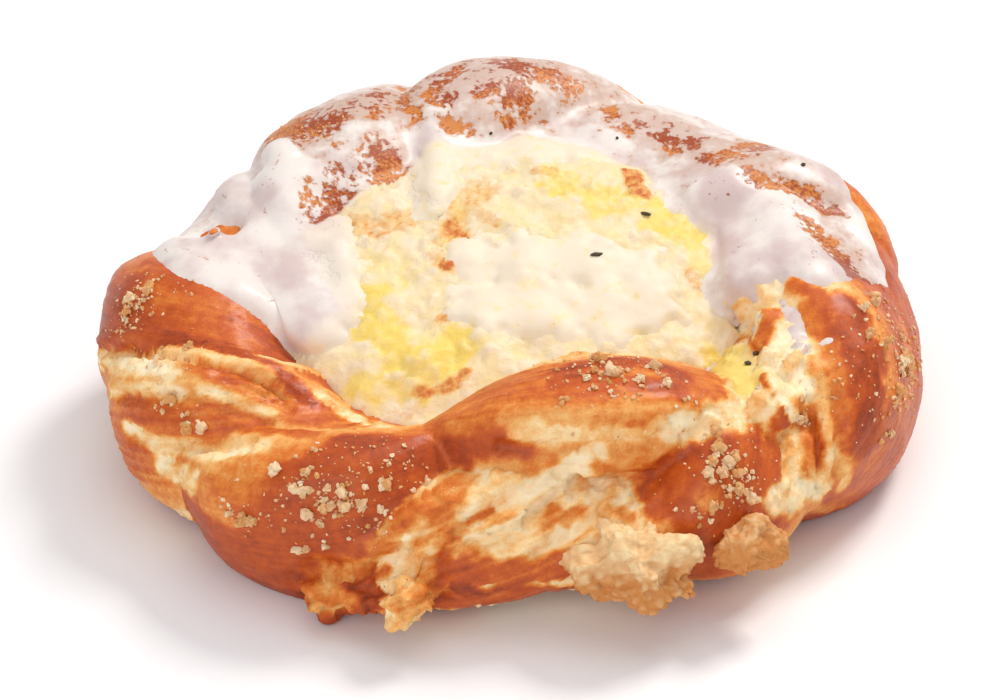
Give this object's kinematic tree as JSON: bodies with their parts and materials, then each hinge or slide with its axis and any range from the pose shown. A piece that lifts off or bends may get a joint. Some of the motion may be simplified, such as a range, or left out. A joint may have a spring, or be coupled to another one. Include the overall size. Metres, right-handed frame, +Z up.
{
  "type": "cheese sweet bun",
  "caption": "Twisted ring of glazed yeast dough round a soft curd cheese filling, with white icing over its back half and crumble lumps at its foot.",
  "frame": {"origin": "centre of the flat foot that the bun rests on", "axes": "+Z up out of the filling; -Y towards the bun's front, where the ring is lowest; +X to the right seen from the front"},
  "size_m": [0.1236, 0.1108, 0.0416],
  "materials": {
    "dough": "glossy egg-washed crust, golden to red-brown, with pale torn sides",
    "cheese": "soft, moist and curdled, pale yellow to cream",
    "icing": "set sugar icing, white, smooth and slightly see-through",
    "crumble": "dry, rough butter crumble, cream to tan"
  },
  "bodies": {
    "root": {"dough": "dough", "cheese_filling": "cheese", "icing": "icing", "crumble_lump_large": "crumble", "crumble_lump_small": "crumble"}
  },
  "joints": []
}
